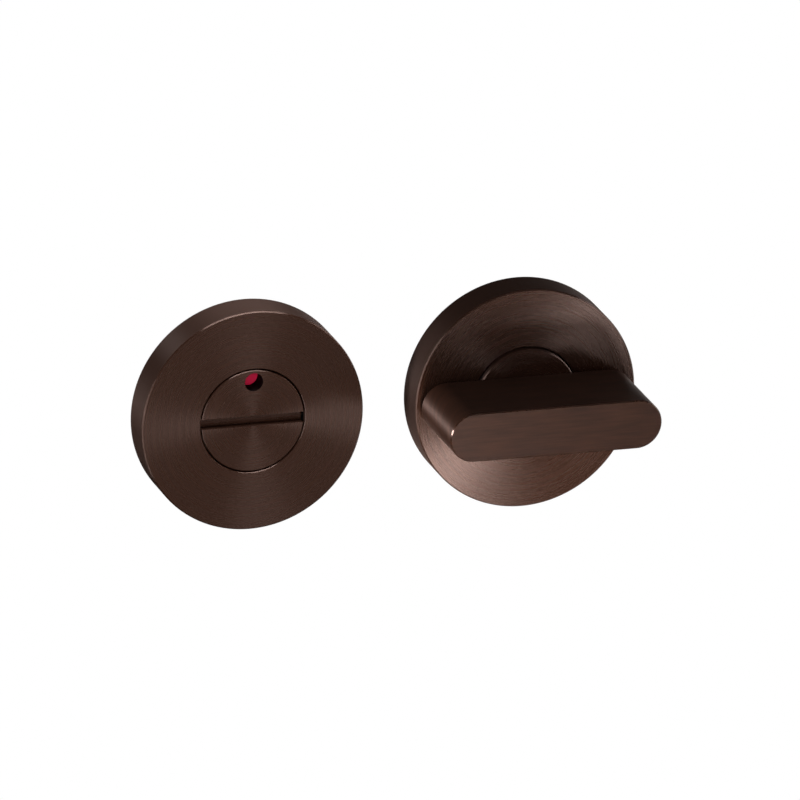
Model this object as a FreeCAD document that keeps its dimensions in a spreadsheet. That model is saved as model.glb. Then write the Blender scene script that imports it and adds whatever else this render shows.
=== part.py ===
import FreeCAD, Part
import math
import os
import re

import Sketcher

# A bathroom thumb turn lock, as its two halves side by side: the inside half with the thumb turn and the outside
# half with the coin release. The backs of both lie in one plane, the door face.
# The origin is the thumb turn's axis in that plane. +X points from the release to the turn, +Y into the door and
# +Z up. A height is measured from the door face out towards the user, so it runs along -Y. Sizes are millimetres.

SIZES = {
    # the round rose of each half and the distance between the two axes
    "rose_diameter": 52.0,
    "rose_height": 8.8,
    "rose_spacing": 64.5,
    "rose_chamfer": 0.25,
    "cover_wall": 1.2,
    "cover_clearance": 0.2,
    # the groove inside the cover and the lugs of the base that snap into it
    "snap_groove_start": 1.5,
    "snap_groove_width": 1.4,
    "snap_groove_depth": 0.4,
    "snap_lug_clearance": 0.15,
    "snap_lug_angle": 14.0,
    # the turning disc of each half: flush in the release, and standing proud as the turn's boss
    "disc_diameter": 24.0,
    "disc_gap": 0.35,
    "disc_thickness": 4.3,
    "disc_chamfer": 0.15,
    "boss_stand": 1.0,
    # the stem behind the disc, with the groove for its circlip
    "stem_diameter": 10.0,
    "stem_tail": 0.9,
    "stem_chamfer": 0.3,
    "groove_depth": 0.2,
    "groove_play": 0.05,
    # the coin slot and the sight hole of the release
    "coin_slot_width": 2.5,
    "coin_slot_depth": 2.0,
    "sight_hole_diameter": 4.3,
    "sight_hole_offset": 9.2,
    # the thumb turn's bar
    "grip_length": 50.0,
    "grip_width": 11.5,
    "grip_front": 31.0,
    "grip_chamfer": 0.25,
    # the square spindle and its sockets
    "spindle_width": 5.0,
    "spindle_length": 65.0,
    "spindle_chamfer": 0.5,
    "square_clearance": 0.1,
    "grip_socket_depth": 10.5,
    "socket_end_play": 0.3,
    "release_socket_depth": 8.0,
    # the screws that hold the bar on its boss, and the set screw that grips the spindle
    "grip_screw_diameter": 3.0,
    "grip_screw_head": 5.6,
    "grip_screw_length": 10.0,
    "grip_screw_point": 0.4,
    "grip_screw_offset": 8.2,
    "grip_screw_hole_depth": 6.0,
    "grub_diameter": 4.0,
    "grub_length": 3.0,
    "grub_height": 15.6,
    "hex_width": 2.0,
    "hex_depth": 1.4,
    "thread_clearance": 0.04,
    # the moulded base plate
    "base_wall": 1.8,
    "base_skin": 2.0,
    "recess_clearance": 0.5,
    "recess_wall": 2.4,
    "back_recess_diameter": 21.0,
    "back_recess_depth": 1.2,
    "rib_width": 1.4,
    "moulding_overlap": 0.5,
    "post_inset": 1.0,
    # the fixing holes through the base plate, and the wood screws
    "fixing_offset": 0.45,
    "bolt_hole_diameter": 4.5,
    "bolt_head_diameter": 7.6,
    "bolt_head_depth": 3.0,
    "wood_screw_diameter": 3.5,
    "wood_screw_head": 7.0,
    "wood_screw_length": 20.0,
    "wood_screw_point": 5.0,
    "screw_head_rim": 0.2,
    "screw_tip_diameter": 0.5,
    "screw_clearance": 0.2,
    "screw_sink": 0.1,
    "screw_seat_clearance": 0.05,
    "cross_width": 0.9,
    "cross_depth": 1.3,
    # the coloured half rings behind the sight hole
    "indicator_thickness": 1.0,
    "indicator_gap": 0.2,
    "indicator_clearance": 0.2,
    "indicator_inset": 0.4,
    "indicator_angle": 178.0,
    "peg_diameter": 1.6,
    "peg_length": 1.5,
    "peg_clearance": 0.05,
    # the bearing bush
    "running_clearance": 0.04,
    "bush_wall": 1.5,
    "bush_play": 0.05,
    "bush_seat_clearance": 0.05,
    "bush_flange_diameter": 17.0,
    "bush_flange_thickness": 0.6,
    # the washers and the circlip on the stem
    "washer_clearance": 0.2,
    "washer_play": 0.05,
    "wave_washer_diameter": 15.0,
    "wave_washer_height": 0.55,
    "wave_washer_thickness": 0.25,
    "flat_washer_diameter": 16.0,
    "flat_washer_thickness": 0.5,
    "circlip_thickness": 1.0,
    "circlip_width": 1.55,
    "circlip_shift": 0.35,
    "circlip_gap": 1.6,
    "circlip_lug_spacing": 3.7,
    "circlip_lug_diameter": 2.8,
    "circlip_lug_hole": 1.5,
    "circlip_clearance": 0.05,
}

WAVES = 3
POINTS_PER_WAVE = 8
RIBS = 8
LUGS = 4

# heights above the door face
BASE_FRONT = "(rose_height - cover_wall)"
DISC_BACK = "(rose_height - disc_thickness)"
BOSS_FRONT = "(rose_height + boss_stand)"
INDICATOR_BACK = f"({DISC_BACK} - indicator_gap - indicator_thickness)"
FLANGE_BACK = "(back_recess_depth - bush_flange_thickness)"
WAVE_BACK = f"({FLANGE_BACK} - washer_play - wave_washer_height)"
WASHER_BACK = f"({WAVE_BACK} - flat_washer_thickness)"
CIRCLIP_BACK = f"({WASHER_BACK} - circlip_thickness)"
STEM_END = f"({CIRCLIP_BACK} - groove_play - stem_tail)"
SPINDLE_FRONT = f"({BOSS_FRONT} + grip_socket_depth - socket_end_play)"

# radii about each half's axis
DISC_RADIUS = "(disc_diameter / 2)"
STEM_RADIUS = "(stem_diameter / 2)"
GROOVE_RADIUS = f"({STEM_RADIUS} - groove_depth)"
BUSH_RADIUS = f"({STEM_RADIUS} + running_clearance + bush_wall)"
BORE_RADIUS = f"({BUSH_RADIUS} + bush_seat_clearance)"
RECESS_RADIUS = f"({DISC_RADIUS} + recess_clearance)"
HUB_RADIUS = f"({RECESS_RADIUS} + recess_wall)"
COVER_INSIDE = "(rose_diameter / 2 - cover_wall)"
SNAP_RADIUS = f"({COVER_INSIDE} + snap_groove_depth)"
BASE_RADIUS = f"({COVER_INSIDE} - cover_clearance)"
BASE_INSIDE = f"({BASE_RADIUS} - base_wall)"
INDICATOR_INSIDE = f"({BUSH_RADIUS} + indicator_clearance)"
INDICATOR_OUTSIDE = f"({DISC_RADIUS} - indicator_inset)"
PEG_OFFSET = f"(({INDICATOR_INSIDE} + {INDICATOR_OUTSIDE}) / 2)"
# the fixing circle runs a little outside the middle of the base plate's ring: centres 38 mm apart on a 52 mm rose
FIXING_RADIUS = f"(({RECESS_RADIUS} + {BASE_RADIUS}) / 2 + fixing_offset)"
POST_RADIUS = f"({BASE_RADIUS} - {FIXING_RADIUS} - post_inset)"
SOCKET_WIDTH = "(spindle_width + square_clearance)"

# how much wider than the screw's head a countersink is at its mouth, each side
SEAT_SPREAD = "(screw_sink + screw_head_rim + screw_seat_clearance)"

# turns of a sketch about the axis: ribs start between the fixing posts, lugs lie halfway, and each coloured half
# ring is centred on a diagonal, red to the upper left and green to the lower right
RIB_TURN = 22.5
LUG_TURN = 45.0
RED_TURN = -135.0
GREEN_TURN = 45.0
PEG_TURN = -45.0

doc = FreeCAD.newDocument("thumb_turn_lock")
sheet = doc.addObject("Spreadsheet::Sheet", "Sizes")
parts = []


def fill_sheet():
    """One row for each size: its name, and its number under that name as an alias."""
    for row, (name, number) in enumerate(SIZES.items(), start=1):
        sheet.set(f"A{row}", name)
        sheet.set(f"B{row}", str(number))
        sheet.setAlias(f"B{row}", name)
    doc.recompute()


def bound(formula):
    """A formula of size names as an expression that reads the sheet."""
    return re.sub(r"[a-z]\w*", r"Sizes.\g<0>", formula)


def kept(node, name, half):
    """Names a finished sub-part, and stands it on the axis of its half of the lock."""
    node.Label = name
    if half == "release":
        node.setExpression("Placement.Base.x", bound("-rose_spacing"))
    parts.append(node)
    return node


def new_body(name, half):
    return kept(doc.addObject("PartDesign::Body", name), name, half)


def origin_feature(body, role):
    return next(feature for feature in body.Origin.OriginFeatures if feature.Role == role)


def front_sketch(body, name, height, turn=0.0):
    """A sketch parallel to the door face, at a height above it and turned about the axis. Its normal points out."""
    sketch = body.newObject("Sketcher::SketchObject", f"{body.Name}_{name}")
    sketch.AttachmentSupport = (origin_feature(body, "XZ_Plane"), [""])
    sketch.MapMode = "FlatFace"
    rotation = FreeCAD.Rotation(FreeCAD.Vector(0, 0, 1), turn)
    sketch.AttachmentOffset = FreeCAD.Placement(FreeCAD.Vector(), rotation)
    sketch.setExpression("AttachmentOffset.Base.z", bound(height))
    return sketch


def section_sketch(body, name, corners, turn=0.0):
    """A closed half section through the axis, its corners given as radius and height."""
    sketch = body.newObject("Sketcher::SketchObject", f"{body.Name}_{name}")
    sketch.AttachmentSupport = (origin_feature(body, "XY_Plane"), [""])
    sketch.MapMode = "FlatFace"
    rotation = FreeCAD.Rotation(FreeCAD.Vector(0, 1, 0), turn)
    sketch.AttachmentOffset = FreeCAD.Placement(FreeCAD.Vector(), rotation)
    polygon(sketch, [(radius, f"-({height})") for radius, height in corners])
    return sketch


def fix_value(sketch, constraint, name, formula):
    """Adds a constraint whose value follows the sheet."""
    index = sketch.addConstraint(constraint)
    sketch.renameConstraint(index, name)
    sketch.setExpression(f"Constraints.{name}", bound(formula))


def fix_point(sketch, geometry, point, name, place):
    """Holds a point of the sketch at x and y, both formulas."""
    at = sketch.getPoint(geometry, point)
    fix_value(sketch, Sketcher.Constraint("DistanceX", -1, 1, geometry, point, at.x), f"{name}_x", place[0])
    fix_value(sketch, Sketcher.Constraint("DistanceY", -1, 1, geometry, point, at.y), f"{name}_y", place[1])


def polygon(sketch, corners):
    """A closed outline of straight lines, drawn as a regular polygon and then held at its corners."""
    count = len(corners)
    first = sketch.GeometryCount
    turns = [2 * math.pi * i / count for i in range(count)]
    drawn = [FreeCAD.Vector(math.cos(turn), math.sin(turn), 0) for turn in turns]
    for i in range(count):
        sketch.addGeometry(Part.LineSegment(drawn[i], drawn[(i + 1) % count]), False)
    for i in range(count):
        sketch.addConstraint(Sketcher.Constraint("Coincident", first + i, 2, first + (i + 1) % count, 1))
    for i, corner in enumerate(corners):
        fix_point(sketch, first + i, 1, f"corner_{first + i}", corner)


def rectangle(sketch, width, height):
    """A rectangle centred on the axis."""
    across = f"({width}) / 2"
    up = f"({height}) / 2"
    polygon(sketch, [(f"-{across}", f"-{up}"), (across, f"-{up}"), (across, up), (f"-{across}", up)])


def circles(sketch, diameter, places):
    """Equal circles at the given places."""
    for place in places:
        drawn = Part.Circle()
        index = sketch.addGeometry(drawn, False)
        fix_value(sketch, Sketcher.Constraint("Diameter", index, 2 * drawn.Radius), f"diameter_{index}", diameter)
        fix_point(sketch, index, 3, f"centre_{index}", place)


def full_round(sketch, length, width):
    """A bar's outline: two straight sides joined by half circles."""
    reach = (SIZES[length] - SIZES[width]) / 2
    radius = SIZES[width] / 2
    up = FreeCAD.Vector(0, 0, 1)
    left = Part.Circle(FreeCAD.Vector(-reach, 0, 0), up, radius)
    right = Part.Circle(FreeCAD.Vector(reach, 0, 0), up, radius)
    sketch.addGeometry(Part.ArcOfCircle(left, math.pi / 2, 3 * math.pi / 2), False)
    sketch.addGeometry(Part.LineSegment(FreeCAD.Vector(-reach, -radius, 0), FreeCAD.Vector(reach, -radius, 0)), False)
    sketch.addGeometry(Part.ArcOfCircle(right, -math.pi / 2, math.pi / 2), False)
    sketch.addGeometry(Part.LineSegment(FreeCAD.Vector(reach, radius, 0), FreeCAD.Vector(-reach, radius, 0)), False)
    for i in range(4):
        sketch.addConstraint(Sketcher.Constraint("Tangent", i, 2, (i + 1) % 4, 1))
    fix_value(sketch, Sketcher.Constraint("Radius", 0, radius), "end_radius", f"{width} / 2")
    fix_point(sketch, 0, 3, "left_end", (f"-({length} - {width}) / 2", "0"))
    fix_point(sketch, 2, 3, "right_end", (f"({length} - {width}) / 2", "0"))


def turned(body, name, sketch, angle=None):
    """The section turned about the axis, all the way or by a size's angle, half to each side of the sketch."""
    feature = body.newObject("PartDesign::Revolution", f"{body.Name}_{name}")
    feature.Profile = sketch
    feature.ReferenceAxis = (sketch, ["V_Axis"])
    if angle is None:
        feature.Angle = 360
    else:
        feature.Midplane = True
        feature.setExpression("Angle", bound(angle))
    doc.recompute()
    return feature


def padded(body, name, sketch, length, inwards=False):
    """The outline raised by a length, away from the door or towards it."""
    feature = body.newObject("PartDesign::Pad", f"{body.Name}_{name}")
    feature.Profile = sketch
    feature.Reversed = inwards
    feature.setExpression("Length", bound(length))
    doc.recompute()
    return feature


def must_remove(body, volume, feature):
    """Stops if a cut took nothing away."""
    doc.recompute()
    if body.Shape.Volume > volume - 1e-3:
        raise ValueError(f"{feature.Name} cuts nothing")
    return feature


def pocket(body, name, sketch, length=None, outwards=False):
    """The outline cut through all, or to a length, towards the door or away from it."""
    volume = body.Shape.Volume
    feature = body.newObject("PartDesign::Pocket", f"{body.Name}_{name}")
    feature.Profile = sketch
    feature.Reversed = outwards
    if length is None:
        feature.Type = "ThroughAll"
    else:
        feature.setExpression("Length", bound(length))
    return must_remove(body, volume, feature)


def screw_holes(body, name, sketch, diameter, head, head_depth=None, outwards=False):
    """Holes through all with a place for a screw's head: a flat one of a given depth, or a 90 degree countersink."""
    doc.recompute()
    volume = body.Shape.Volume
    feature = body.newObject("PartDesign::Hole", f"{body.Name}_{name}")
    feature.Profile = sketch
    doc.recompute()
    feature.Reversed = outwards
    feature.ThreadType = "None"
    feature.DepthType = "ThroughAll"
    feature.setExpression("Diameter", bound(diameter))
    if head_depth is None:
        feature.HoleCutType = "Countersink"
        feature.HoleCutCountersinkAngle = 90
    else:
        feature.HoleCutType = "Counterbore"
        feature.setExpression("HoleCutDepth", bound(head_depth))
    feature.setExpression("HoleCutDiameter", bound(head))
    return must_remove(body, volume, feature)


def repeated(body, name, feature, count, angle=360):
    """The feature repeated about the axis."""
    pattern = body.newObject("PartDesign::PolarPattern", f"{body.Name}_{name}")
    pattern.Originals = [feature]
    pattern.Axis = (origin_feature(body, "Y_Axis"), [""])
    pattern.Angle = angle
    pattern.Occurrences = count
    body.Tip = pattern
    doc.recompute()
    return pattern


def end_faces(shape):
    """The names of the flat faces at the shape's two ends along Y."""
    ends = (shape.BoundBox.YMin, shape.BoundBox.YMax)
    names = []
    for number, face in enumerate(shape.Faces, start=1):
        box = face.BoundBox
        if box.YLength < 1e-6 and min(abs(box.YMin - end) for end in ends) < 1e-6:
            names.append(f"Face{number}")
    return names


def chamfered_ends(body, name, feature, size):
    chamfer = body.newObject("PartDesign::Chamfer", f"{body.Name}_{name}")
    chamfer.Base = (feature, end_faces(feature.Shape))
    chamfer.setExpression("Size", bound(size))
    doc.recompute()
    return chamfer


def rose_cover(half):
    """A round cover pressed from sheet: chamfered rim, hole for the disc, and a groove that snaps on the base."""
    body = new_body(f"{half}_rose_cover", half)
    rim = "(rose_diameter / 2)"
    hole = f"({DISC_RADIUS} + disc_gap)"
    groove_end = "snap_groove_start + snap_groove_width"
    corners = [
        (rim, "0"),
        (rim, "rose_height - rose_chamfer"),
        (f"{rim} - rose_chamfer", "rose_height"),
        (f"{hole} + disc_chamfer", "rose_height"),
        (hole, "rose_height - disc_chamfer"),
        (hole, BASE_FRONT),
        (COVER_INSIDE, BASE_FRONT),
        (COVER_INSIDE, groove_end),
        (SNAP_RADIUS, groove_end),
        (SNAP_RADIUS, "snap_groove_start"),
        (COVER_INSIDE, "snap_groove_start"),
        (COVER_INSIDE, "0"),
    ]
    turned(body, "pressing", section_sketch(body, "section", corners))


def base_plate(half):
    """A moulded plate, cored out from behind, with a recess for the disc, fixing posts, ribs and snap lugs."""
    body = new_body(f"{half}_base_plate", half)
    back_recess = "(back_recess_diameter / 2)"
    corners = [
        (BORE_RADIUS, "back_recess_depth"),
        (BORE_RADIUS, INDICATOR_BACK),
        (RECESS_RADIUS, INDICATOR_BACK),
        (RECESS_RADIUS, BASE_FRONT),
        (BASE_RADIUS, BASE_FRONT),
        (BASE_RADIUS, "0"),
        (BASE_INSIDE, "0"),
        (BASE_INSIDE, f"{BASE_FRONT} - base_skin"),
        (HUB_RADIUS, f"{BASE_FRONT} - base_skin"),
        (HUB_RADIUS, "0"),
        (back_recess, "0"),
        (back_recess, "back_recess_depth"),
    ]
    turned(body, "moulding", section_sketch(body, "section", corners))
    across = [(FIXING_RADIUS, "0"), (f"-{FIXING_RADIUS}", "0")]
    upright = [("0", FIXING_RADIUS), ("0", f"-{FIXING_RADIUS}")]
    posts = front_sketch(body, "post_outlines", "0")
    circles(posts, f"2 * {POST_RADIUS}", across + upright)
    padded(body, "posts", posts, BASE_FRONT)
    rib = front_sketch(body, "rib_outline", "0", RIB_TURN)
    middle = "rib_width / 2"
    near = f"({HUB_RADIUS} - moulding_overlap)"
    far = f"({BASE_INSIDE} + moulding_overlap)"
    polygon(rib, [(near, f"-{middle}"), (far, f"-{middle}"), (far, middle), (near, middle)])
    repeated(body, "ribs", padded(body, "rib", rib, f"{BASE_FRONT} - base_skin"), RIBS)
    repeated(body, "lugs", snap_lug(body), LUGS)
    bolts = front_sketch(body, "bolt_places", BASE_FRONT)
    circles(bolts, "bolt_hole_diameter", across)
    screw_holes(body, "bolt_holes", bolts, "bolt_hole_diameter", "bolt_head_diameter", "bolt_head_depth")
    screws = front_sketch(body, "wood_screw_places", BASE_FRONT)
    shank = "wood_screw_diameter + 2 * screw_clearance"
    circles(screws, shank, upright)
    screw_holes(body, "wood_screw_holes", screws, shank, f"wood_screw_head + 2 * {SEAT_SPREAD}")
    pegs = front_sketch(body, "peg_places", INDICATOR_BACK, PEG_TURN)
    circles(pegs, "peg_diameter + 2 * peg_clearance", [(PEG_OFFSET, "0"), (f"-{PEG_OFFSET}", "0")])
    pocket(body, "peg_holes", pegs, "peg_length + peg_clearance")


def snap_lug(body):
    """One lug on the base's wall: square towards the door, where it holds, and sloping towards the user."""
    reach = f"({SNAP_RADIUS} - snap_lug_clearance)"
    root = f"({BASE_RADIUS} - moulding_overlap)"
    low = "(snap_groove_start + snap_lug_clearance)"
    high = "(snap_groove_start + snap_groove_width - snap_lug_clearance)"
    middle = f"(({low} + {high}) / 2)"
    corners = [(root, low), (reach, low), (reach, middle), (BASE_RADIUS, high), (root, high)]
    return turned(body, "lug", section_sketch(body, "lug_section", corners, LUG_TURN), "snap_lug_angle")


def bush(half):
    """A flanged plastic bush. Its front end carries the disc and its flange bears on the base from behind."""
    body = new_body(f"{half}_bush", half)
    bore = f"({STEM_RADIUS} + running_clearance)"
    flange = "bush_flange_diameter / 2"
    corners = [
        (bore, FLANGE_BACK),
        (bore, f"{DISC_BACK} - bush_play"),
        (BUSH_RADIUS, f"{DISC_BACK} - bush_play"),
        (BUSH_RADIUS, "back_recess_depth"),
        (flange, "back_recess_depth"),
        (flange, FLANGE_BACK),
    ]
    turned(body, "turning", section_sketch(body, "section", corners))


def disc_on_stem(name, half, front, chamfer):
    """A disc turned in one piece with its stem, which has a groove for the circlip near its end."""
    body = new_body(name, half)
    groove_front = f"({WASHER_BACK} + groove_play)"
    groove_back = f"({CIRCLIP_BACK} - groove_play)"
    corners = [
        ("0", front),
        (f"{DISC_RADIUS} - {chamfer}", front),
        (DISC_RADIUS, f"{front} - {chamfer}"),
        (DISC_RADIUS, DISC_BACK),
        (STEM_RADIUS, DISC_BACK),
        (STEM_RADIUS, groove_front),
        (GROOVE_RADIUS, groove_front),
        (GROOVE_RADIUS, groove_back),
        (STEM_RADIUS, groove_back),
        (STEM_RADIUS, f"{STEM_END} + stem_chamfer"),
        (f"{STEM_RADIUS} - stem_chamfer", STEM_END),
        ("0", STEM_END),
    ]
    turned(body, "turning", section_sketch(body, "section", corners))
    return body


def turn_boss():
    """The thumb turn's boss and stem, with the spindle's square hole and the holes of the bar's screws."""
    body = disc_on_stem("turn_boss", "turn", BOSS_FRONT, "rose_chamfer")
    square = front_sketch(body, "square", BOSS_FRONT)
    rectangle(square, SOCKET_WIDTH, SOCKET_WIDTH)
    pocket(body, "square_hole", square)
    places = front_sketch(body, "screw_places", DISC_BACK)
    hole = "grip_screw_diameter + 2 * screw_clearance"
    circles(places, hole, [("grip_screw_offset", "0"), ("-grip_screw_offset", "0")])
    screw_holes(body, "screw_holes", places, hole, f"grip_screw_head + 2 * {SEAT_SPREAD}", outwards=True)


def release_disc():
    """The release's disc and stem, with its coin slot, sight hole and square socket for the spindle."""
    body = disc_on_stem("release_disc", "release", "rose_height", "disc_chamfer")
    slot = front_sketch(body, "slot_outline", "rose_height")
    rectangle(slot, "disc_diameter + 2 * disc_gap", "coin_slot_width")
    pocket(body, "coin_slot", slot, "coin_slot_depth")
    sight = front_sketch(body, "sight_outline", "rose_height")
    circles(sight, "sight_hole_diameter", [("0", "sight_hole_offset")])
    pocket(body, "sight_hole", sight)
    square = front_sketch(body, "square", STEM_END)
    rectangle(square, SOCKET_WIDTH, SOCKET_WIDTH)
    pocket(body, "square_socket", square, "release_socket_depth", outwards=True)


def turn_grip():
    """The flat bar with full-round ends, its edges chamfered, with blind holes behind and one for the set screw."""
    body = new_body("turn_grip", "turn")
    outline = front_sketch(body, "outline", BOSS_FRONT)
    full_round(outline, "grip_length", "grip_width")
    bar = padded(body, "bar", outline, f"grip_front - {BOSS_FRONT}")
    chamfered_ends(body, "edges", bar, "grip_chamfer")
    square = front_sketch(body, "square", BOSS_FRONT)
    rectangle(square, SOCKET_WIDTH, SOCKET_WIDTH)
    pocket(body, "square_socket", square, "grip_socket_depth", outwards=True)
    places = front_sketch(body, "screw_places", BOSS_FRONT)
    hole = "grip_screw_diameter + 2 * thread_clearance"
    circles(places, hole, [("grip_screw_offset", "0"), ("-grip_screw_offset", "0")])
    pocket(body, "screw_holes", places, "grip_screw_hole_depth", outwards=True)
    below = body.newObject("Sketcher::SketchObject", "turn_grip_grub_place")
    below.AttachmentSupport = (origin_feature(body, "XY_Plane"), [""])
    below.MapMode = "FlatFace"
    circles(below, "grub_diameter + 2 * thread_clearance", [("0", "-grub_height")])
    pocket(body, "grub_hole", below, "grip_width")


def spindle():
    """The square spindle, from its socket in the bar through the door, with both ends chamfered."""
    body = new_body("spindle", "turn")
    square = front_sketch(body, "section", f"{SPINDLE_FRONT} - spindle_length")
    rectangle(square, "spindle_width", "spindle_width")
    bar = padded(body, "bar", square, "spindle_length")
    chamfered_ends(body, "ends", bar, "spindle_chamfer")


def flat_washer(half):
    body = new_body(f"{half}_flat_washer", half)
    inside = f"({STEM_RADIUS} + washer_clearance)"
    outside = "flat_washer_diameter / 2"
    corners = [(inside, WASHER_BACK), (inside, WAVE_BACK), (outside, WAVE_BACK), (outside, WASHER_BACK)]
    turned(body, "ring", section_sketch(body, "section", corners))


def waved_edge(radius, offset, swing):
    """A closed edge round the axis that rises and falls by the swing, once for each wave."""
    count = WAVES * POINTS_PER_WAVE
    points = []
    for i in range(count):
        angle = 2 * math.pi * i / count
        height = offset + swing * math.cos(WAVES * angle)
        points.append(FreeCAD.Vector(radius * math.cos(angle), -height, radius * math.sin(angle)))
    curve = Part.BSplineCurve()
    curve.interpolate(Points=points, PeriodicFlag=True)
    return curve.toShape()


def wave_washer(half):
    """A spring washer of even thickness, waved three times round, that presses the stem's stack together."""
    thickness = sheet.get("wave_washer_thickness")
    swing = (sheet.get("wave_washer_height") - thickness) / 2
    inside = sheet.get("stem_diameter") / 2 + sheet.get("washer_clearance")
    outside = sheet.get("wave_washer_diameter") / 2
    edges = [waved_edge(radius, side * thickness / 2, swing) for radius, side in
             ((inside, -1), (inside, 1), (outside, 1), (outside, -1))]
    faces = [Part.makeRuledSurface(edges[i], edges[(i + 1) % 4]) for i in range(4)]
    shell = Part.makeShell(faces)
    shell.sewShape()
    solid = Part.makeSolid(shell)
    if solid.Volume < 0:
        solid.reverse()
    washer = doc.addObject("Part::Feature", f"{half}_wave_washer")
    washer.Shape = solid
    washer.setExpression("Placement.Base.y", bound(f"-({WAVE_BACK} + wave_washer_height / 2)"))
    kept(washer, f"{half}_wave_washer", half)


def round_bar(name, diameter, length, height, x="0", z="0"):
    """A cylinder that stands out from the door, its foot at a height."""
    bar = doc.addObject("Part::Cylinder", name)
    bar.Placement = FreeCAD.Placement(FreeCAD.Vector(), FreeCAD.Rotation(FreeCAD.Vector(1, 0, 0), 90))
    bar.setExpression("Radius", bound(f"({diameter}) / 2"))
    bar.setExpression("Height", bound(length))
    bar.setExpression("Placement.Base.x", bound(x))
    bar.setExpression("Placement.Base.y", bound(f"-({height})"))
    bar.setExpression("Placement.Base.z", bound(z))
    return bar


def circlip(half):
    """A retaining ring, widest opposite its gap, with a lug and a plier hole each side of the gap."""
    name = f"{half}_circlip"
    inner = f"({GROOVE_RADIUS} + circlip_clearance)"
    outer = f"({inner} + circlip_width)"
    lug_x = "circlip_lug_spacing / 2"
    lug_z = f"({outer} - circlip_shift)"
    thickness = "circlip_thickness"
    places = {"left": f"-{lug_x}", "right": lug_x}
    ring = round_bar(f"{name}_ring", f"2 * {outer}", thickness, CIRCLIP_BACK, z="-circlip_shift")
    lugs = [round_bar(f"{name}_lug_{side}", "circlip_lug_diameter", thickness, CIRCLIP_BACK, x, lug_z)
            for side, x in places.items()]
    whole = doc.addObject("Part::MultiFuse", f"{name}_whole")
    whole.Shapes = [ring, *lugs]
    bore = round_bar(f"{name}_bore", f"2 * {inner}", thickness, CIRCLIP_BACK)
    holes = [round_bar(f"{name}_hole_{side}", "circlip_lug_hole", thickness, CIRCLIP_BACK, x, lug_z)
             for side, x in places.items()]
    gap = doc.addObject("Part::Box", f"{name}_gap")
    gap.setExpression("Length", bound("circlip_gap"))
    gap.setExpression("Width", bound(thickness))
    gap.setExpression("Height", bound("stem_diameter"))
    gap.setExpression("Placement.Base.x", bound("-circlip_gap / 2"))
    gap.setExpression("Placement.Base.y", bound(f"-({CIRCLIP_BACK} + circlip_thickness)"))
    openings = doc.addObject("Part::MultiFuse", f"{name}_openings")
    openings.Shapes = [bore, *holes, gap]
    clip = doc.addObject("Part::Cut", name)
    clip.Base = whole
    clip.Tool = openings
    kept(clip, name, half)


def countersunk_screw(name, head_height, x, z, outwards, sizes):
    """One countersunk screw with a cross recess, parallel to the axis and with its head's face at a height."""
    body = doc.addObject("PartDesign::Body", name)
    head, shank, length, point, tip = sizes
    cone = f"(({head} - {shank}) / 2)"
    neck = f"(screw_head_rim + {cone})"
    corners = [
        ("0", "0"),
        (f"{head} / 2", "0"),
        (f"{head} / 2", "-screw_head_rim"),
        (f"{shank} / 2", f"-{neck}"),
        (f"{shank} / 2", f"-({length} - {point})"),
        (tip, f"-{length}"),
        ("0", f"-{length}"),
    ]
    turned(body, "turning", section_sketch(body, "section", corners))
    cross = front_sketch(body, "cross_outline", "0")
    rectangle(cross, f"{head} / 2", "cross_width")
    repeated(body, "cross", pocket(body, "cross_arm", cross, "cross_depth"), 2, 90)
    turn = FreeCAD.Rotation(FreeCAD.Vector(1, 0, 0), 180 if outwards else 0)
    body.Placement = FreeCAD.Placement(FreeCAD.Vector(), turn)
    body.setExpression("Placement.Base.x", bound(x))
    body.setExpression("Placement.Base.y", bound(f"-({head_height})"))
    body.setExpression("Placement.Base.z", bound(z))
    return body


def screw_pair(name, half, head_height, places, outwards, sizes):
    """Two like screws, kept as one node."""
    screws = [countersunk_screw(f"{name}_{side}", head_height, x, z, outwards, sizes)
              for side, (x, z) in places.items()]
    pair = doc.addObject("Part::Compound", name)
    pair.Links = screws
    kept(pair, name, half)


def wood_screws(half):
    places = {"upper": ("0", FIXING_RADIUS), "lower": ("0", f"-{FIXING_RADIUS}")}
    sizes = ("wood_screw_head", "wood_screw_diameter", "wood_screw_length", "wood_screw_point",
             "screw_tip_diameter / 2")
    screw_pair(f"{half}_wood_screws", half, f"{BASE_FRONT} - screw_sink", places, False, sizes)


def grip_screws():
    places = {"left": ("-grip_screw_offset", "0"), "right": ("grip_screw_offset", "0")}
    sizes = ("grip_screw_head", "grip_screw_diameter", "grip_screw_length", "grip_screw_point",
             "(grip_screw_diameter / 2 - grip_screw_point)")
    screw_pair("grip_screws", "turn", f"{DISC_BACK} + screw_sink", places, True, sizes)


def grub_screw():
    """The set screw in the bar's underside, with a hexagon socket. Its tip bears on the spindle."""
    shank = doc.addObject("Part::Cylinder", "grub_screw_shank")
    shank.setExpression("Radius", bound("grub_diameter / 2"))
    shank.setExpression("Height", bound("grub_length"))
    shank.setExpression("Placement.Base.y", bound("-grub_height"))
    shank.setExpression("Placement.Base.z", bound("-spindle_width / 2 - grub_length"))
    socket = doc.addObject("Part::Prism", "grub_screw_socket")
    socket.Polygon = 6
    socket.setExpression("Circumradius", bound("hex_width / 3 ^ 0.5"))
    socket.setExpression("Height", bound("hex_depth"))
    socket.setExpression("Placement.Base.y", bound("-grub_height"))
    socket.setExpression("Placement.Base.z", bound("-spindle_width / 2 - grub_length"))
    screw = doc.addObject("Part::Cut", "grub_screw")
    screw.Base = shank
    screw.Tool = socket
    kept(screw, "grub_screw", "turn")


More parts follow.
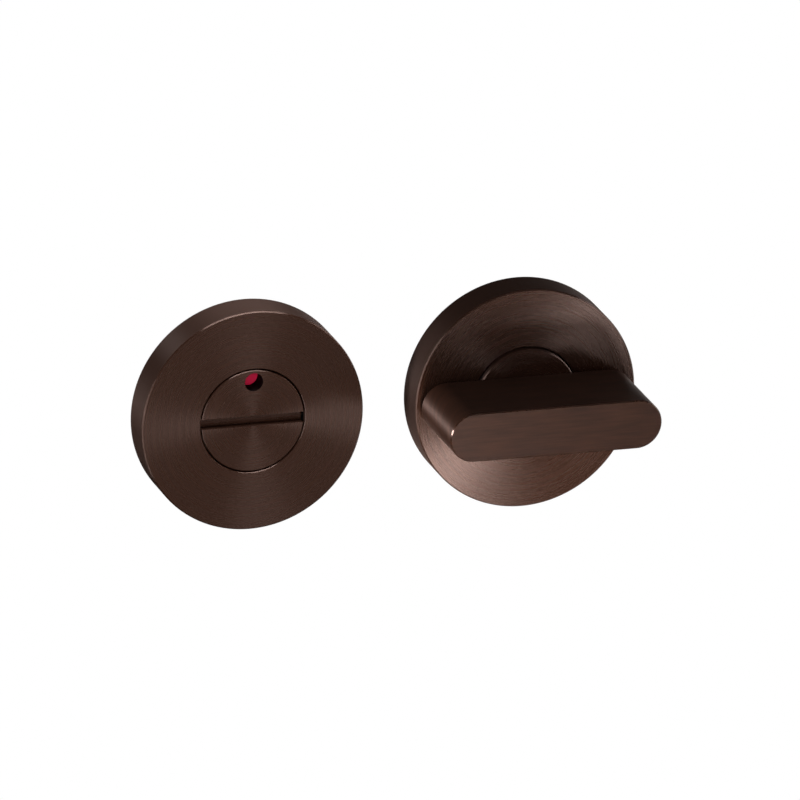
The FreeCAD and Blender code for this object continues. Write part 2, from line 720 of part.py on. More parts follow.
def indicator(colour, turn):
    """A coloured half ring that lies in the base's recess, hidden by the disc, and keyed to the base by a peg."""
    body = new_body(f"indicator_{colour}", "release")
    front = f"({INDICATOR_BACK} + indicator_thickness)"
    corners = [
        (INDICATOR_INSIDE, INDICATOR_BACK),
        (INDICATOR_INSIDE, front),
        (INDICATOR_OUTSIDE, front),
        (INDICATOR_OUTSIDE, INDICATOR_BACK),
    ]
    turned(body, "half_ring", section_sketch(body, "section", corners, turn), "indicator_angle")
    peg = front_sketch(body, "peg_outline", INDICATOR_BACK, -turn)
    circles(peg, "peg_diameter", [(PEG_OFFSET, "0")])
    padded(body, "peg", peg, "peg_length", inwards=True)


def check():
    """Stops if any object failed or any sub-part has no sound solid."""
    doc.recompute()
    for thing in doc.Objects:
        if "Invalid" in thing.State or "Error" in thing.State:
            raise ValueError(f"{thing.Name} failed: {thing.State}")
    for node in parts:
        if node.Shape.isNull() or not node.Shape.isValid() or node.Shape.Volume <= 0:
            raise ValueError(f"{node.Label} has no sound solid")


def write():
    os.makedirs("parts", exist_ok=True)
    for node in parts:
        node.Shape.exportStep(f"parts/{node.Label}.step")
        print(f"{node.Label}: {len(node.Shape.Solids)} solid, {node.Shape.Volume:.1f} mm3")


fill_sheet()
for half in ("turn", "release"):
    rose_cover(half)
    base_plate(half)
    bush(half)
    wave_washer(half)
    flat_washer(half)
    circlip(half)
    wood_screws(half)
turn_boss()
turn_grip()
grip_screws()
grub_screw()
spindle()
release_disc()
indicator("red", RED_TURN)
indicator("green", GREEN_TURN)
check()
write()
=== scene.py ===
import math

import bmesh
import bpy
from mathutils import Matrix, Vector


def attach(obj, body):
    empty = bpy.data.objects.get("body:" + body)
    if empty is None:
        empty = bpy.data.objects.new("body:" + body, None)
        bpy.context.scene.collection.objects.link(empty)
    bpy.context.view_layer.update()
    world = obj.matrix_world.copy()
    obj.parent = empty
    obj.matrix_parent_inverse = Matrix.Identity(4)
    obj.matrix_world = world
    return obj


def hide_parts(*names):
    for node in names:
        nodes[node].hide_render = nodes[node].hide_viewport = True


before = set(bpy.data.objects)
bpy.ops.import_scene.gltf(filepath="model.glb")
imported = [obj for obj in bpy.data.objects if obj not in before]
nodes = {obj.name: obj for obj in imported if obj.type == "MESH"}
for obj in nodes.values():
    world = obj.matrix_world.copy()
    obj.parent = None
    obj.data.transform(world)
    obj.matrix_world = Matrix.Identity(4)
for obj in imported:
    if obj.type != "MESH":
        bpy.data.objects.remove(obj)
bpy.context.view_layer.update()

# Rose covers. Two round covers pressed from sheet steel, with chamfered rims and faces brushed on a lathe,
# so fine grooves run round the axis. A dark bronze coating follows every groove. The covers snap on the
# base plates and lie with their backs on the door.

RELEASE_AXIS = -0.0645
BRONZE = (0.12, 0.046, 0.025)
BRONZE_METALLIC = 0.55
BRONZE_IOR = 2.2
GROOVES = 4200.0  # changes of the brush marks in a metre, across them
ROUNDS = 1.5  # and round the axis


def new_material(name):
    """A material with an empty node tree apart from its surface, and what adds and joins its nodes."""
    material = bpy.data.materials.new(name)
    material.use_nodes = True
    tree = material.node_tree
    surface = next(n for n in tree.nodes if n.type == "BSDF_PRINCIPLED")

    def add(kind, inputs=(), **settings):
        node = tree.nodes.new("ShaderNode" + kind)
        for key, value in settings.items():
            setattr(node, key, value)
        for key, value in dict(inputs).items():
            if isinstance(value, bpy.types.NodeSocket):
                tree.links.new(value, node.inputs[key])
            else:
                node.inputs[key].default_value = value
        return node

    def join(output, socket):
        tree.links.new(output, surface.inputs[socket])

    return material, surface, add, join


def dress(node, material):
    """Gives a carried-over node its material."""
    node.data.materials.clear()
    node.data.materials.append(material)


def streaks(add, across, along, near):
    """Brush marks as a grey value: fine lines across, slowly changing along, with a coarser set mixed in."""
    place = add("CombineXYZ", {"X": across, "Y": along, "Z": near}).outputs["Vector"]
    fine = add("TexNoise", {"Vector": place, "Scale": 1.0, "Detail": 4.0, "Roughness": 0.62})
    wide = add("VectorMath", {0: place, 1: (0.3, 0.55, 0.55)}, operation="MULTIPLY")
    coarse = add("TexNoise", {"Vector": wide.outputs["Vector"], "Scale": 1.0, "Detail": 2.0})
    both = add("Mix", {0: 0.5, 2: fine.outputs["Fac"], 3: coarse.outputs["Fac"]}, data_type="FLOAT")
    return both.outputs[0]


def brushed(material_parts, marks, painted_shade, tint, roughness, spread, depth, duller=0.0, raised=1.0):
    """Lets the brush marks change the bronze's colour, roughness and height a little, and paints the colour
    near black as painted shade where the third argument's mask is set.
    """
    surface, add, join = material_parts
    surface.inputs["Metallic"].default_value = BRONZE_METALLIC
    surface.inputs["IOR"].default_value = BRONZE_IOR
    worn = tuple(channel * (1 + tint) for channel in BRONZE)
    deep = tuple(channel * (1 - tint) for channel in BRONZE)
    contrast = add("MapRange", {"Value": marks, "From Min": 0.36, "From Max": 0.64})
    ramp = add("Mix", {0: contrast.outputs["Result"], 6: (*deep, 1), 7: (*worn, 1)}, data_type="RGBA")
    # Painted shade: where the mask is set, the colour goes to near black.
    shaded = add("Mix", {0: painted_shade, 6: ramp.outputs[2], 7: (0.004, 0.003, 0.003, 1)}, data_type="RGBA")
    join(shaded.outputs[2], "Base Color")
    rough = add("MapRange", {"Value": marks, "From Min": 0.3, "From Max": 0.7, "To Min": roughness - spread,
                             "To Max": roughness + spread})
    join(add("Math", {0: rough.outputs["Result"], 1: duller}, operation="ADD").outputs["Value"], "Roughness")
    bump = add("Bump", {"Height": marks, "Strength": raised, "Distance": depth})
    join(bump.outputs["Normal"], "Normal")


def turned_bronze(name, axis_x):
    """Dark bronze on steel that was brushed while it turned about the axis of its half."""
    material, surface, add, join = new_material(name)
    surface.inputs["Anisotropic"].default_value = 0.9
    surface.inputs["Anisotropic Rotation"].default_value = 0.25
    place = add("TexCoord").outputs["Object"]
    centred = add("VectorMath", {0: place, 1: (axis_x, 0, 0)}, operation="SUBTRACT").outputs["Vector"]
    flat = add("VectorMath", {0: centred, 1: (1, 0, 1)}, operation="MULTIPLY").outputs["Vector"]
    radius = add("VectorMath", {0: flat}, operation="LENGTH").outputs["Value"]
    heading = add("VectorMath", {0: flat}, operation="NORMALIZE").outputs["Vector"]
    split = add("SeparateXYZ", {"Vector": heading})
    depth = add("SeparateXYZ", {"Vector": centred}).outputs["Y"]
    across = add("Math", {0: radius, 1: depth}, operation="ADD").outputs["Value"]
    lines = add("Math", {0: across, 1: GROOVES}, operation="MULTIPLY").outputs["Value"]
    round_x = add("Math", {0: split.outputs["X"], 1: ROUNDS}, operation="MULTIPLY").outputs["Value"]
    round_z = add("Math", {0: split.outputs["Z"], 1: ROUNDS}, operation="MULTIPLY").outputs["Value"]
    marks = streaks(add, lines, round_x, round_z)
    tangent = add("Tangent", direction_type="RADIAL", axis="Y")
    join(tangent.outputs["Tangent"], "Tangent")
    facing = add("SeparateXYZ", {"Vector": add("TexCoord").outputs["Normal"]}).outputs["Y"]
    flatness = add("Math", {0: facing}, operation="ABSOLUTE").outputs["Value"]
    sides = add("MapRange", {"Value": flatness, "From Min": 0.45, "From Max": 0.55, "To Min": 0.28,
                             "To Max": 0.0})
    raised = add("MapRange", {"Value": flatness, "From Min": 0.8, "From Max": 0.95})
    return (material, surface, add, join), marks, radius, sides.outputs["Result"], raised.outputs["Result"]


rose_bronze = {}
for half, axis_x, tint, depth in (("turn", 0.0, 0.08, 0.0000008), ("release", RELEASE_AXIS, 0.07, 0.0000007)):
    (rose_bronze[half], *parts), marks, _, sides, raised = turned_bronze(f"turned_bronze_{half}_half", axis_x)
    brushed(parts, marks, 0.0, tint, 0.27, 0.03, depth, sides, raised)
    dress(nodes[half + "_rose_cover"], rose_bronze[half])

# Release disc. Turned from bar in one piece with its stem, milled for the coin slot and drilled for the
# sight hole. Brushed and coated like the covers, with plain tool marks in the slot, it turns in the hole of
# its cover with a fine gap all round. The wall of the sight hole is duller and not metallic, and its colour
# and reflections are painted near black as painted shade in the hole.

SIGHT_HOLE_RADIUS = 0.00215
SIGHT_HOLE_OFFSET = 0.0092
COIN_SLOT_WIDTH = 0.0025
FACE_DEPTH = 0.0088
CENTRE_RINGS = 2600.0  # changes in a metre, as above
SLOT_LINES = 3000.0
SLOT_CHANGES = 160.0

disc_parts, marks, radius, _, raised = turned_bronze("turned_bronze_release_disc", RELEASE_AXIS)
disc_bronze, surface, add, join = disc_parts
place = add("TexCoord").outputs["Object"]
from_sight = add("VectorMath", {0: place, 1: (RELEASE_AXIS, 0, SIGHT_HOLE_OFFSET)}, operation="SUBTRACT")
flat = add("VectorMath", {0: from_sight.outputs["Vector"], 1: (1, 0, 1)}, operation="MULTIPLY")
reach = add("VectorMath", {0: flat.outputs["Vector"]}, operation="LENGTH").outputs["Value"]
near_hole = add("Math", {0: reach, 1: SIGHT_HOLE_RADIUS + 0.00002}, operation="LESS_THAN").outputs["Value"]
below_face = add("Math", {0: add("SeparateXYZ", {"Vector": place}).outputs["Y"], 1: 0.00003 - FACE_DEPTH},
                 operation="GREATER_THAN").outputs["Value"]
# The wall of the sight hole, where painted shade goes below.
painted_shade_hole_wall = add("Math", {0: near_hole, 1: below_face}, operation="MULTIPLY").outputs["Value"]
centre_marks = add("Math", {0: radius, 1: CENTRE_RINGS}, operation="MULTIPLY").outputs["Value"]
rings = add("TexNoise", {"W": centre_marks, "Scale": 1.0, "Detail": 1.0}, noise_dimensions="1D")
near_centre = add("MapRange", {"Value": radius, "From Min": 0.0012, "From Max": 0.005, "To Min": 0.75,
                               "To Max": 0.0})
marks = add("Mix", {0: near_centre.outputs["Result"], 2: marks, 3: rings.outputs["Fac"]}, data_type="FLOAT")
split = add("SeparateXYZ", {"Vector": place})
height = add("Math", {0: split.outputs["Z"]}, operation="ABSOLUTE").outputs["Value"]
in_band = add("Math", {0: height, 1: COIN_SLOT_WIDTH / 2 + 0.00001}, operation="LESS_THAN").outputs["Value"]
milled = add("Math", {0: in_band, 1: below_face}, operation="MULTIPLY").outputs["Value"]
slot_lines = add("Math", {0: split.outputs["Z"], 1: SLOT_LINES}, operation="MULTIPLY").outputs["Value"]
slot_along = add("Math", {0: split.outputs["X"], 1: SLOT_CHANGES}, operation="MULTIPLY").outputs["Value"]
slot_marks = streaks(add, slot_lines, slot_along, split.outputs["Y"])
marks = add("Mix", {0: milled, 2: marks.outputs[0], 3: slot_marks}, data_type="FLOAT").outputs[0]
round_axis = add("Tangent", direction_type="RADIAL", axis="Y").outputs["Tangent"]
lengthways = add("VectorTransform", {"Vector": (1, 0, 0)}, vector_type="VECTOR", convert_from="OBJECT",
                 convert_to="WORLD").outputs["Vector"]
tangent = add("Mix", {0: milled, 4: round_axis, 5: lengthways}, data_type="VECTOR")
join(tangent.outputs[1], "Tangent")
dull = add("Math", {0: painted_shade_hole_wall, 1: 0.4}, operation="MULTIPLY").outputs["Value"]
# The sight hole's wall gets painted shade: its colour goes near black.
brushed((surface, add, join), marks, painted_shade_hole_wall, 0.1, 0.27, 0.03, 0.000001, dull, raised)
coated = add("MapRange", {"Value": painted_shade_hole_wall, "To Min": BRONZE_METALLIC, "To Max": 0.0})
join(coated.outputs["Result"], "Metallic")
# Painted shade in the reflections: the sight hole's wall reflects only a dark tint.
painted_reflection_shade = add("Mix", {0: painted_shade_hole_wall, 6: (1, 1, 1, 1), 7: (0.06, 0.045, 0.045, 1)}, data_type="RGBA")
join(painted_reflection_shade.outputs[2], "Specular Tint")
dress(nodes["release_disc"], disc_bronze)

# Boss of the thumb turn. Turned and brushed like the release disc, but it stands a little proud of its
# cover and carries the bar, which two screws hold from behind.

dress(nodes["turn_boss"], rose_bronze["turn"])

# Thumb turn bar. A flat bar with full-round ends, brushed along its length on the front and round its edge
# on the sides, and coated like the rest. The fine chamfer all round is cut last, so it is smoother.

BAR_LINES = 2900.0  # changes in a metre, as above
BAR_CHANGES = 170.0

material, surface, add, join = new_material("brushed_bronze_bar")
surface.inputs["Anisotropic"].default_value = 0.9
surface.inputs["Anisotropic Rotation"].default_value = 0.25
coordinates = add("TexCoord")
split = add("SeparateXYZ", {"Vector": coordinates.outputs["Object"]})
across = add("Math", {0: split.outputs["Z"], 1: split.outputs["Y"]}, operation="SUBTRACT").outputs["Value"]
lines = add("Math", {0: across, 1: BAR_LINES}, operation="MULTIPLY").outputs["Value"]
along = add("Math", {0: split.outputs["X"], 1: BAR_CHANGES}, operation="MULTIPLY").outputs["Value"]
near = add("Math", {0: split.outputs["Y"], 1: BAR_CHANGES}, operation="MULTIPLY").outputs["Value"]
marks = streaks(add, lines, along, near)
facing = add("SeparateXYZ", {"Vector": coordinates.outputs["Normal"]}).outputs["Y"]
flatness = add("Math", {0: facing}, operation="ABSOLUTE").outputs["Value"]
chamfer = add("Math", {0: flatness, 1: 0.707, 2: 0.15}, operation="COMPARE").outputs["Value"]
smoother = add("MapRange", {"Value": chamfer, "To Min": 0.0, "To Max": -0.2}).outputs["Result"]
raised = add("MapRange", {"Value": chamfer, "To Min": 1.0, "To Max": 0.0}).outputs["Result"]
brushed((surface, add, join), marks, 0.0, 0.26, 0.46, 0.05, 0.000003, smoother, raised)
round_edge = add("VectorMath", {0: coordinates.outputs["Normal"], 1: (0, 1, 0)}, operation="CROSS_PRODUCT")
lengthways = add("VectorMath", {0: round_edge.outputs["Vector"], 1: (0.01, 0, 0)}, operation="ADD")
turned_with = add("VectorTransform", {"Vector": lengthways.outputs["Vector"]}, vector_type="VECTOR",
                  convert_from="OBJECT", convert_to="WORLD")
join(turned_with.outputs["Vector"], "Tangent")
dress(nodes["turn_grip"], material)

# Base plates. Black glass-filled nylon, moulded with a fine spark-eroded skin and cored out from behind.
# Screws hold them on the door, and the covers snap over their lugs.


def mottle(add, scale, detail, roughness=0.5):
    """A cloudy pattern as a grey value; scale is how often it changes in a metre."""
    place = add("TexCoord").outputs["Object"]
    noise = add("TexNoise", {"Vector": place, "Scale": scale, "Detail": detail, "Roughness": roughness})
    return noise.outputs["Fac"]


def toned(add, join, pattern, dark, light):
    """Lets the colour follow a pattern between two tones."""
    tone = add("Mix", {0: pattern, 6: (*dark, 1), 7: (*light, 1)}, data_type="RGBA")
    join(tone.outputs[2], "Base Color")


def roughened(add, join, pattern, low, high):
    """Lets the roughness follow a pattern from low to high."""
    rough = add("MapRange", {"Value": pattern, "To Min": low, "To Max": high})
    join(rough.outputs["Result"], "Roughness")


def embossed(add, join, pattern, strength, depth):
    """Lets the height follow a pattern."""
    bump = add("Bump", {"Height": pattern, "Strength": strength, "Distance": depth})
    join(bump.outputs["Normal"], "Normal")


material, surface, add, join = new_material("moulded_nylon")
surface.inputs["Specular IOR Level"].default_value = 0.45
grain = mottle(add, 3200.0, 5.0, 0.6)
toned(add, join, mottle(add, 90.0, 2.0), (0.018, 0.018, 0.02), (0.034, 0.034, 0.036))
roughened(add, join, grain, 0.42, 0.66)
embossed(add, join, grain, 0.6, 0.00003)
for name in ("turn_base_plate", "release_base_plate"):
    dress(nodes[name], material)

# Bushes. Natural acetal, turned smooth, a little waxy and slightly see-through. Each is pushed into its
# base plate from behind and carries the stem of its half.

material, surface, add, join = new_material("natural_acetal")
surface.inputs["Subsurface Weight"].default_value = 0.25
surface.inputs["Subsurface Scale"].default_value = 0.001
cloud = mottle(add, 260.0, 3.0)
toned(add, join, cloud, (0.74, 0.72, 0.66), (0.84, 0.83, 0.79))
roughened(add, join, cloud, 0.3, 0.45)
for name in ("turn_bush", "release_bush"):
    dress(nodes[name], material)

# Spring parts. The wave washers and circlips are stamped from spring steel, hardened and blackened with a
# thin oily phosphate, which is a little lighter where it has rubbed.

material, surface, add, join = new_material("blackened_spring_steel")
surface.inputs["Metallic"].default_value = 0.85
patch = mottle(add, 700.0, 6.0, 0.65)
toned(add, join, patch, (0.05, 0.05, 0.056), (0.16, 0.155, 0.15))
roughened(add, join, patch, 0.34, 0.6)
embossed(add, join, patch, 0.4, 0.00001)
for name in ("turn_wave_washer", "turn_circlip", "release_wave_washer", "release_circlip"):
    dress(nodes[name], material)

# Spindle. Square bar drawn through a die, so fine lines run along it, cut to length and zinc plated.
# The set screw in the thumb turn bar grips it.

DRAWN_LINES = (5200.0, 60.0, 5200.0)  # changes in a metre, across and along the bar

material, surface, add, join = new_material("plated_drawn_bar")
surface.inputs["Metallic"].default_value = 1.0
surface.inputs["Anisotropic"].default_value = 0.5
drawn = add("VectorMath", {0: add("TexCoord").outputs["Object"], 1: DRAWN_LINES}, operation="MULTIPLY")
lines = add("TexNoise", {"Vector": drawn.outputs["Vector"], "Scale": 1.0, "Detail": 3.0}).outputs["Fac"]
toned(add, join, lines, (0.46, 0.47, 0.49), (0.7, 0.71, 0.73))
roughened(add, join, lines, 0.22, 0.4)
embossed(add, join, lines, 0.5, 0.00001)
dress(nodes["spindle"], material)

# Short screws and plain washers. Steel with a bright zinc plating that has a faint blue and yellow cast.
# Two short screws hold the bar on its boss, and the set screw in the bar has a hexagon socket.

zinc, surface, add, join = new_material("bright_zinc")
surface.inputs["Metallic"].default_value = 1.0
toned(add, join, mottle(add, 240.0, 3.0), (0.55, 0.58, 0.63), (0.7, 0.68, 0.6))
roughened(add, join, mottle(add, 2600.0, 3.0), 0.2, 0.36)
for name in ("grip_screws", "grub_screw", "turn_flat_washer", "release_flat_washer"):
    dress(nodes[name], zinc)

# Wood screws. Cold-headed steel with a countersunk head, a cross recess, a smooth shank and a rolled
# thread that runs out at the point, zinc plated like the rest. A pair holds each base plate on the door.

FIXING_RADIUS = 0.019
HEAD_END = -0.00562
NECK_START = -0.00572
NECK_RADIUS = 0.00186
SHANK_RADIUS = 0.0013
SHANK_START = -0.0049
SHANK_END = 0.0006
THREAD_START = -0.001
THREAD_PITCH = 0.0016
THREAD_CORE = 0.00115
THREAD_CREST = 0.00175
POINT_START = 0.0075
POINT_END = 0.0125
STEPS_ROUND = 24
RIDGE = ((0.0, False), (0.34, False), (0.5, True), (0.66, False), (1.0, False))  # share of the pitch, crest
SHARP_EDGE = math.radians(35)


def round_point(axis, turn, radius, depth):
    """A point round a screw's axis; going deeper as the turn grows makes a right-hand thread."""
    angle = 2 * math.pi * turn
    return (axis[0] + radius * math.sin(angle), depth, axis[1] + radius * math.cos(angle))


def smooth_shank(form, axis):
    """The neck under the head and the plain shank, closed at both ends."""
    rings = []
    for radius, depth in ((0.0, NECK_START), (NECK_RADIUS, NECK_START), (SHANK_RADIUS, SHANK_START),
                          (SHANK_RADIUS, SHANK_END), (0.0, SHANK_END)):
        rings.append([form.verts.new(round_point(axis, step / STEPS_ROUND, radius, depth))
                      for step in range(STEPS_ROUND)])
    for near, far in zip(rings, rings[1:]):
        for step in range(STEPS_ROUND):
            after = (step + 1) % STEPS_ROUND
            form.faces.new((near[step], near[after], far[after], far[step]))


def rolled_thread(form, axis):
    """A ridge wound round a core that narrows to the point. It grows over its first turn."""
    steps = math.ceil((POINT_END - THREAD_START) / THREAD_PITCH * STEPS_ROUND)
    rows = []
    for step in range(steps + 1):
        row = []
        for share, on_crest in RIDGE:
            depth = min(THREAD_START + THREAD_PITCH * (step / STEPS_ROUND + share), POINT_END)
            narrowing = min(1.0, max(0.0, (POINT_END - depth) / (POINT_END - POINT_START)))
            rise = (THREAD_CREST - THREAD_CORE) * min(1.0, step / STEPS_ROUND) if on_crest else 0.0
            radius = (THREAD_CORE + rise) * narrowing
            row.append(form.verts.new(round_point(axis, step / STEPS_ROUND, radius, depth)))
        rows.append(row)
    for near, far in zip(rows, rows[1:]):
        for place in range(len(near) - 1):
            form.faces.new((near[place], near[place + 1], far[place + 1], far[place]))
    middle = form.verts.new((axis[0], THREAD_START, axis[1]))
    for start in (*((near[0], far[0]) for near, far in zip(rows[:STEPS_ROUND], rows[1:])),
                  *zip(rows[0], rows[0][1:])):
        form.faces.new((middle, *start))


screw_pairs = []
for half, axis_x in (("turn", 0.0), ("release", RELEASE_AXIS)):
    form = bmesh.new()
    form.from_mesh(nodes[half + "_wood_screws"].data)
    bmesh.ops.remove_doubles(form, verts=form.verts, dist=0.000001)
    whole = form.verts[:] + form.edges[:] + form.faces[:]
    cut = bmesh.ops.bisect_plane(form, geom=whole, plane_co=(0, HEAD_END, 0), plane_no=(0, 1, 0),
                                 clear_outer=True)["geom_cut"]
    cut_edges = [edge for edge in cut if isinstance(edge, bmesh.types.BMEdge)]
    bmesh.ops.holes_fill(form, edges=cut_edges, sides=0)
    for height in (FIXING_RADIUS, -FIXING_RADIUS):
        smooth_shank(form, (axis_x, height))
        rolled_thread(form, (axis_x, height))
    bmesh.ops.remove_doubles(form, verts=form.verts, dist=0.000002)
    bmesh.ops.recalc_face_normals(form, faces=form.faces)
    mesh = bpy.data.meshes.new(half + "_threaded_screws")
    form.to_mesh(mesh)
    form.free()
    mesh.polygons.foreach_set("use_smooth", [True] * len(mesh.polygons))
    mesh.set_sharp_from_angle(angle=SHARP_EDGE)
    pair = bpy.data.objects.new(half + "_threaded_screws", mesh)
    bpy.context.scene.collection.objects.link(pair)
    dress(pair, zinc)
    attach(pair, "roses")
    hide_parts(half + "_wood_screws")
    screw_pairs.append(pair)

# Coloured half rings. Moulded in red and green plastic, each keyed into the release's base plate by a
# peg. One of them shows through the sight hole: red while the lock is shut, green while it is open.


def moulded_colour(name, colour):
    material, _, add, join = new_material(name)
    cloud = mottle(add, 400.0, 2.0)
    toned(add, join, cloud, [channel * 0.8 for channel in colour], colour)
    roughened(add, join, cloud, 0.3, 0.42)
    return material


dress(nodes["indicator_red"], moulded_colour("red_plastic", (0.62, 0.015, 0.06)))
dress(nodes["indicator_green"], moulded_colour("green_plastic", (0.04, 0.42, 0.14)))

# Studio. White paper lies well below the lock, and the backing is white too, but dim in the metal. Dark
# cards seen by the metal alone keep the paper off it. The halves were lit one at a time, mostly from low
# in front, so each has lamps of its own, and two more light the fittings behind the door face.

FLOOR_HEIGHT = -0.7


def sheet_of_paper(name, low, high, height):
    """A flat sheet between two corners at a height."""
    mesh = bpy.data.meshes.new(name)
    (left, near), (right, far) = low, high
    corners = [(left, near), (right, near), (right, far), (left, far)]
    mesh.from_pydata([(x, y, height) for x, y in corners], [], [(0, 1, 2, 3)])
    paper = bpy.data.objects.new(name, mesh)
    bpy.context.scene.collection.objects.link(paper)
    return paper


floor = sheet_of_paper("floor", (-6, -6), (6, 6), FLOOR_HEIGHT)
material, surface, add, join = new_material("white_paper")
tree = material.node_tree
surface.inputs["Roughness"].default_value = 0.9
toned(add, join, mottle(add, 300.0, 3.0), (0.8, 0.8, 0.8), (0.84, 0.84, 0.84))
path = add("LightPath")
seen = add("Math", {0: path.outputs["Is Camera Ray"], 1: path.outputs["Is Glossy Ray"]}, operation="MAXIMUM")
seen = add("Math", {0: seen.outputs["Value"], 1: path.outputs["Is Transmission Ray"]}, operation="MAXIMUM")
white = add("Emission", {"Color": (1, 1, 1, 1), "Strength": 1.0})
blend = add("MixShader", {0: seen.outputs["Value"], 1: surface.outputs["BSDF"],
                          2: white.outputs["Emission"]})
output = next(n for n in tree.nodes if n.type == "OUTPUT_MATERIAL")
tree.links.new(blend.outputs["Shader"], output.inputs["Surface"])
dress(floor, material)

material, surface, add, join = new_material("dark_card")
surface.inputs["Roughness"].default_value = 1.0
toned(add, join, mottle(add, 40.0, 3.0), (0.03, 0.03, 0.03), (0.05, 0.05, 0.05))
for name, low, high in (("front_card", (-4, -5), (4, 0.5)), ("back_card", (-2.2, 0.5), (0.6, 3.4))):
    card = sheet_of_paper(name, low, high, FLOOR_HEIGHT + 0.002)
    card.visible_camera = False
    card.visible_diffuse = False
    card.visible_shadow = False
    dress(card, material)

world = bpy.data.worlds.new("studio")
bpy.context.scene.world = world
world.use_nodes = True
sky = world.node_tree
backing = next(n for n in sky.nodes if n.type == "BACKGROUND")
backing.inputs["Color"].default_value = (1, 1, 1, 1)
path = sky.nodes.new("ShaderNodeLightPath")
reflected = sky.nodes.new("ShaderNodeMapRange")
reflected.inputs["To Min"].default_value = 0.12
reflected.inputs["To Max"].default_value = 0.04
sky.links.new(path.outputs["Is Glossy Ray"], reflected.inputs["Value"])
strength = sky.nodes.new("ShaderNodeMapRange")
strength.inputs["To Max"].default_value = 1.0
sky.links.new(path.outputs["Is Camera Ray"], strength.inputs["Value"])
sky.links.new(reflected.outputs["Result"], strength.inputs["To Min"])
sky.links.new(strength.outputs["Result"], backing.inputs["Strength"])


def lit_group(prefixes):
    """A collection of the nodes whose names start so, for lamps that light them alone."""
    group = bpy.data.collections.new("lit_" + prefixes[0])
    for piece in (*nodes.values(), *screw_pairs):
        if piece.name.startswith(prefixes):
            group.objects.link(piece)
    return group


def soft_lamp(name, lit, heading, reach, size, power, glossy=True):
    """A lamp of a width and height, a reach away from the group it lights, along its heading."""
    light = bpy.data.lights.new(name, "AREA")
    light.shape = "RECTANGLE"
    light.size, light.size_y = size
    light.energy = power
    lamp = bpy.data.objects.new(name, light)
    towards = Vector(heading).normalized()
    lamp.location = Vector(lit_centres[lit]) + towards * reach
    lamp.rotation_euler = towards.to_track_quat("Z", "Y").to_euler()
    lamp.visible_camera = False
    lamp.visible_glossy = glossy
    bpy.context.scene.collection.objects.link(lamp)
    if lit != "both":
        lamp.light_linking.receiver_collection = lit_groups[lit]


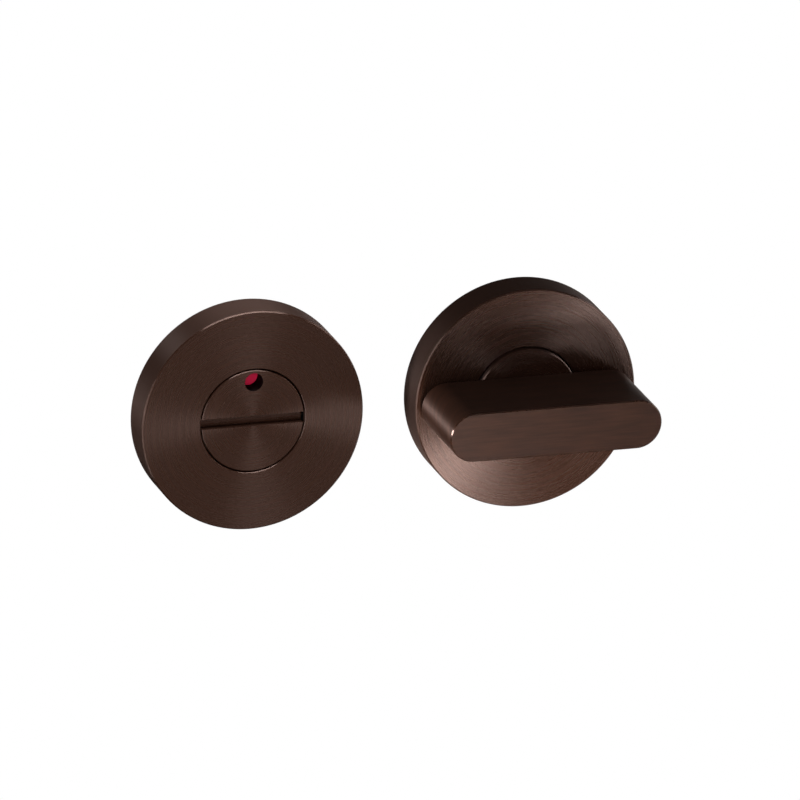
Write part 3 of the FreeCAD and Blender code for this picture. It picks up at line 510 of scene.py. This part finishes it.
lit_groups = {
    "turn": lit_group(("turn_", "grip_", "grub_", "spindle")),
    "turn_rose": lit_group(("turn_rose", "turn_boss")),
    "grip": lit_group(("turn_grip",)),
    "release": lit_group(("release_", "indicator_")),
    "sign": lit_group(("indicator_",)),
    "backs": lit_group(("spindle", "turn_threaded", "release_threaded", "turn_base", "release_base",
                        "turn_circlip", "release_circlip", "turn_flat", "release_flat")),
}
lit_centres = {
    "turn": (0, 0, 0),
    "turn_rose": (0, 0, 0),
    "grip": (0, -0.02, 0),
    "release": (RELEASE_AXIS, 0, 0),
    "sign": (RELEASE_AXIS, 0, SIGHT_HOLE_OFFSET),
    "backs": (RELEASE_AXIS / 2, 0.01, 0),
    "both": (0, 0, 0),
}
LAMPS = [
    ("turn_low", "turn", (-0.10, -0.78, -0.61), 0.25, (0.08, 0.08), 0.225),
    ("turn_mirror", "turn", (0.42, -0.88, -0.20), 0.5, (0.06, 0.06), 0.034),
    ("turn_fan_low", "turn", (0.22, -0.87, -0.44), 0.5, (0.05, 0.05), 0.0689),
    ("turn_fill_low", "turn_rose", (-0.05, -0.75, -0.66), 0.5, (0.2, 0.2), 0.95, False),
    ("turn_fill_front", "turn_rose", (-0.05, -0.93, -0.37), 0.5, (0.2, 0.2), 0.4, False),
    ("turn_fan_up", "turn", (0.02, -0.99, -0.06), 0.5, (0.05, 0.05), 0.025),
    ("turn_left_strip", "turn_rose", (-0.88, -0.35, -0.02), 0.7, (0.1, 1.0), 1.28),
    ("turn_right_strip", "turn", (0.93, -0.05, 0.30), 0.7, (0.08, 0.5), 0.5),
    ("grip_left", "grip", (-0.93, -0.36, 0.05), 0.4, (0.1, 0.1), 0.92),
    ("release_low", "release", (0.30, -0.70, -0.66), 0.7, (0.1, 0.2), 0.075),
    ("release_right", "release", (0.75, -0.56, -0.345), 0.7, (0.2, 0.12), 0.55),
    ("release_front", "release", (0.30, -0.89, -0.345), 1.0, (0.1, 0.1), 0.0194),
    ("release_fill", "release", (-0.15, -0.98, -0.05), 1.0, (0.3, 0.3), 2.16, False),
    ("release_left_strip", "release", (-0.88, -0.28, -0.30), 0.7, (0.1, 0.9), 0.9),
    ("release_right_strip", "release", (0.93, -0.05, 0.30), 0.7, (0.08, 0.5), 0.5),
    ("release_rim", "release", (-0.34, 0.89, 0.30), 0.7, (0.15, 0.15), 0.35),
    ("release_top", "release", (0.15, -0.33, 0.88), 0.7, (0.8, 0.1), 2.19),
    ("sign", "sign", (-0.30, -0.89, 0.345), 0.3, (0.03, 0.03), 0.3, False),
    ("behind", "both", (0.5, 0.8, -0.3), 1.2, (1.3, 1.3), 3.8),
    ("back_left", "backs", (-0.80, 0.55, 0.15), 1.0, (0.9, 0.9), 3.0),
    ("back_top", "backs", (0.15, 0.45, 0.88), 1.0, (0.9, 0.9), 3.0),
]
for lamp in LAMPS:
    soft_lamp(*lamp)

# Camera. It stands where the photograph was taken from, to the left of the lock and above it, and has a
# long lens.

PICTURE_SIDE = 800
FOCAL_PIXELS = 16000.0
SENSOR = 36.0
STAND = (-1.1094, -3.2161, 1.2330)
AIM = (18.603, -19.988, 1.862)
yaw, pitch, roll = (math.radians(angle) for angle in AIM)
forward = Vector((math.sin(yaw) * math.cos(pitch), math.cos(yaw) * math.cos(pitch), math.sin(pitch)))
level = Vector((math.cos(yaw), -math.sin(yaw), 0))
upright = level.cross(forward)
right = level * math.cos(roll) + upright * math.sin(roll)
up = upright * math.cos(roll) - level * math.sin(roll)
lens = bpy.data.cameras.new("camera")
lens.sensor_width = SENSOR
lens.lens = FOCAL_PIXELS / PICTURE_SIDE * SENSOR
lens.clip_start = 0.01
lens.clip_end = 20.0
camera = bpy.data.objects.new("camera", lens)
turned_to_view = Matrix((right, up, -forward)).transposed().to_4x4()
camera.matrix_world = Matrix.Translation(STAND) @ turned_to_view
bpy.context.scene.collection.objects.link(camera)
bpy.context.scene.camera = camera
bpy.context.scene.view_settings.view_transform = "Standard"
